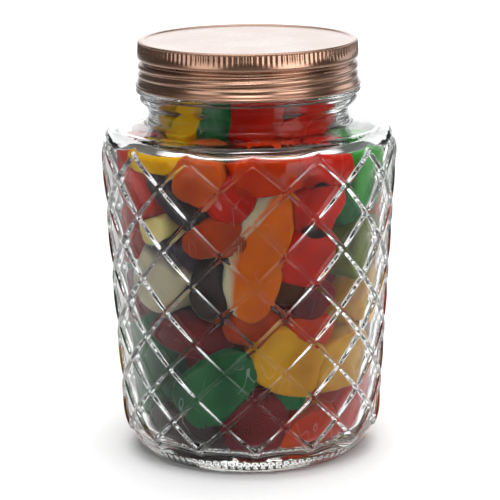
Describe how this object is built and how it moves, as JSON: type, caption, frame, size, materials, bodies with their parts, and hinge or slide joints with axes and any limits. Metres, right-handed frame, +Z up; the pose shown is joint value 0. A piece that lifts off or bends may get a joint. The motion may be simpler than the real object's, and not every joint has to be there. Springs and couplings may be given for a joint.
{
  "type": "jar of jelly sweets",
  "caption": "Clear glass jar with a raised diamond lattice, filled with mixed jujube jelly sweets and shut by a copper-coloured metal screw lid.",
  "frame": {"origin": "middle of the ring that the jar stands on, at the surface it stands on", "axes": "+Z up through the middle of the mouth, -Y to the side that the picture shows as the front"},
  "size_m": [0.0976, 0.0982, 0.1395],
  "materials": {
    "clear_glass": "smooth clear pressed glass",
    "copper_lid": "satin copper-coloured lacquer over tinplate",
    "jelly_sweets": "translucent jelly in mixed colours"
  },
  "bodies": {
    "root": {"jar": "clear_glass", "lid": "copper_lid", "sweets": "jelly_sweets"}
  },
  "joints": []
}
